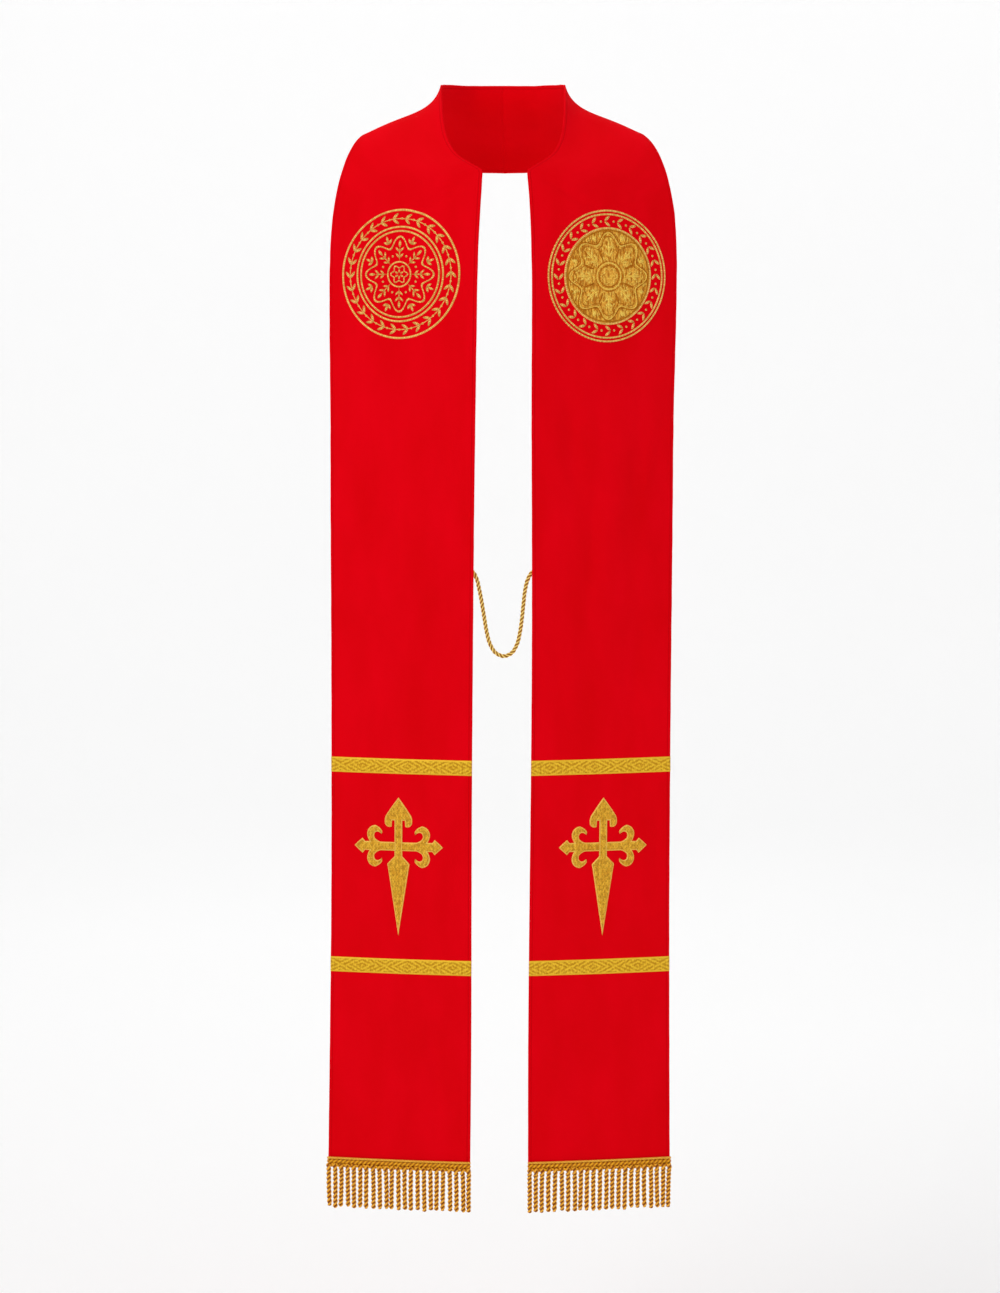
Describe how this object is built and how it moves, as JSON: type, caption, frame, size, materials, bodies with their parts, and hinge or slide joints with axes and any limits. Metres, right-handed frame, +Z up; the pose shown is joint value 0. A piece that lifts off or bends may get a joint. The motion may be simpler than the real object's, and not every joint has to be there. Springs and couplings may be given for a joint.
{
  "type": "clerical stole",
  "caption": "Long cloth stole worn round the neck, with embroidered medallions, sword crosses, galloons, a link cord and fringed hems.",
  "frame": {"origin": "middle of the neck opening, on the level where the bands lie on the shoulders", "axes": "+Z up along the hanging bands, -Y the way the fronts face, +X to the wearer's left"},
  "size_m": [0.3817, 0.2434, 1.2274],
  "materials": {
    "red_cloth": "matt",
    "gold_braid": "satin",
    "gold_embroidery": "satin",
    "gold_bullion": "satin",
    "gold_cord": "satin"
  },
  "bodies": {
    "root": {"band_right": "red_cloth", "galloon_right_upper": "gold_braid", "galloon_right_lower": "gold_braid", "medallion_right_outer_ring": "gold_embroidery", "medallion_right_inner_ring": "gold_embroidery", "medallion_right_second_ring": "gold_embroidery", "cross_right": "gold_embroidery", "fringe_right": "gold_bullion", "band_left": "red_cloth", "galloon_left_upper": "gold_braid", "galloon_left_lower": "gold_braid", "medallion_left_outer_ring": "gold_embroidery", "medallion_left_inner_ring": "gold_embroidery", "medallion_left_second_ring": "gold_embroidery", "cross_left": "gold_embroidery", "fringe_left": "gold_bullion", "medallion_right_petal_ring": "gold_embroidery", "medallion_left_star": "gold_embroidery", "link_cord": "gold_cord"}
  },
  "joints": []
}
